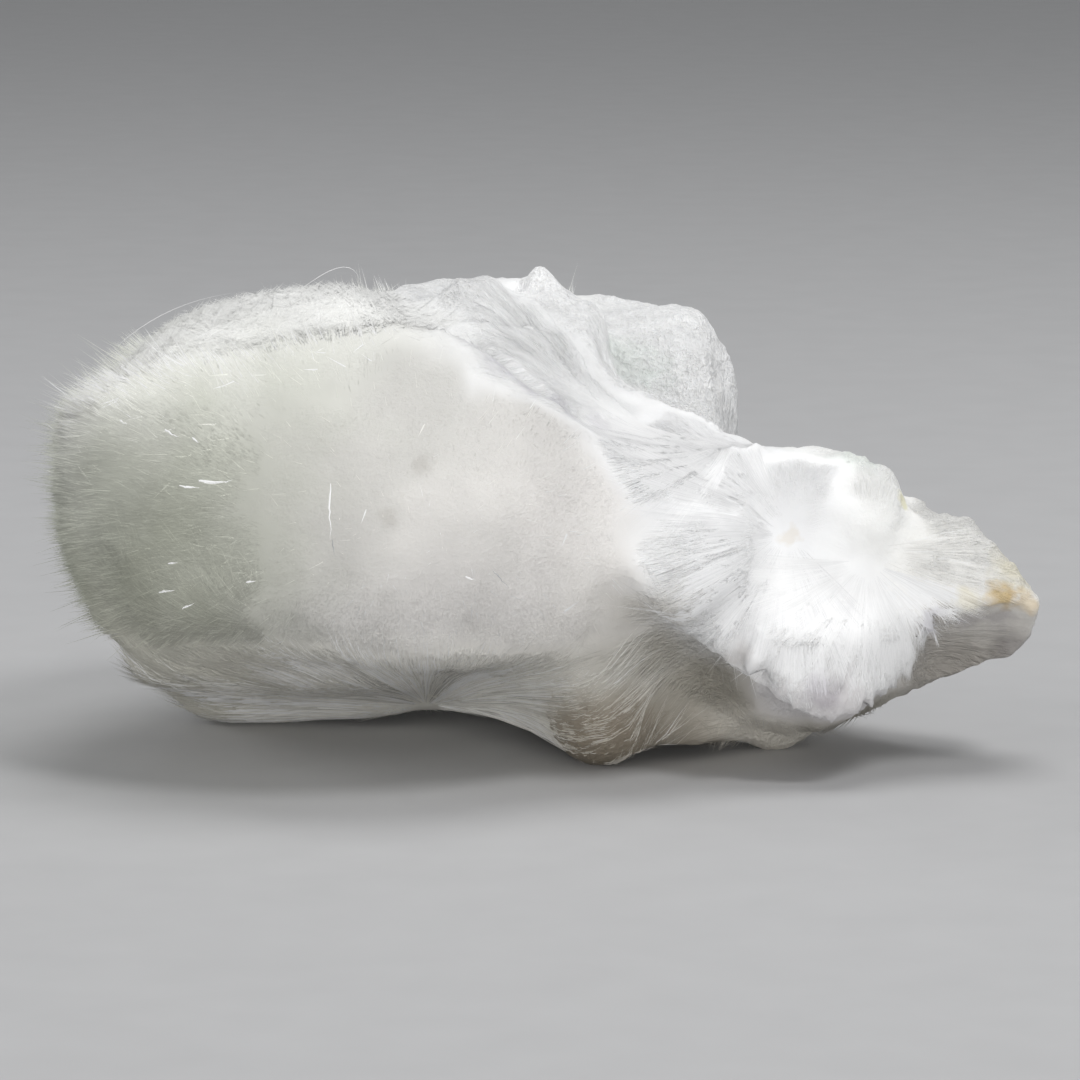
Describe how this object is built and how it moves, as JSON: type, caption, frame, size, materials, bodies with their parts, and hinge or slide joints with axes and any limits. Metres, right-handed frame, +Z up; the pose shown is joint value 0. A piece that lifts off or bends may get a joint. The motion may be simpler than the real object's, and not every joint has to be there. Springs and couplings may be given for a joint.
{
  "type": "okenite puffball",
  "caption": "Small mineral specimen: a hairy ball of radiating white needles grown together with broken sprays that taper to a wedge.",
  "frame": {"origin": "middle of the footprint of the bounding box, at the surface the specimen rests on", "axes": "+X from the round furry puff to the pointed end, -Y the side the puff bulges to, +Z up"},
  "size_m": [0.041, 0.0306, 0.0192],
  "materials": {
    "okenite": "matt, velvety and silky along the needles"
  },
  "bodies": {
    "root": {"okenite_cluster": "okenite"}
  },
  "joints": []
}
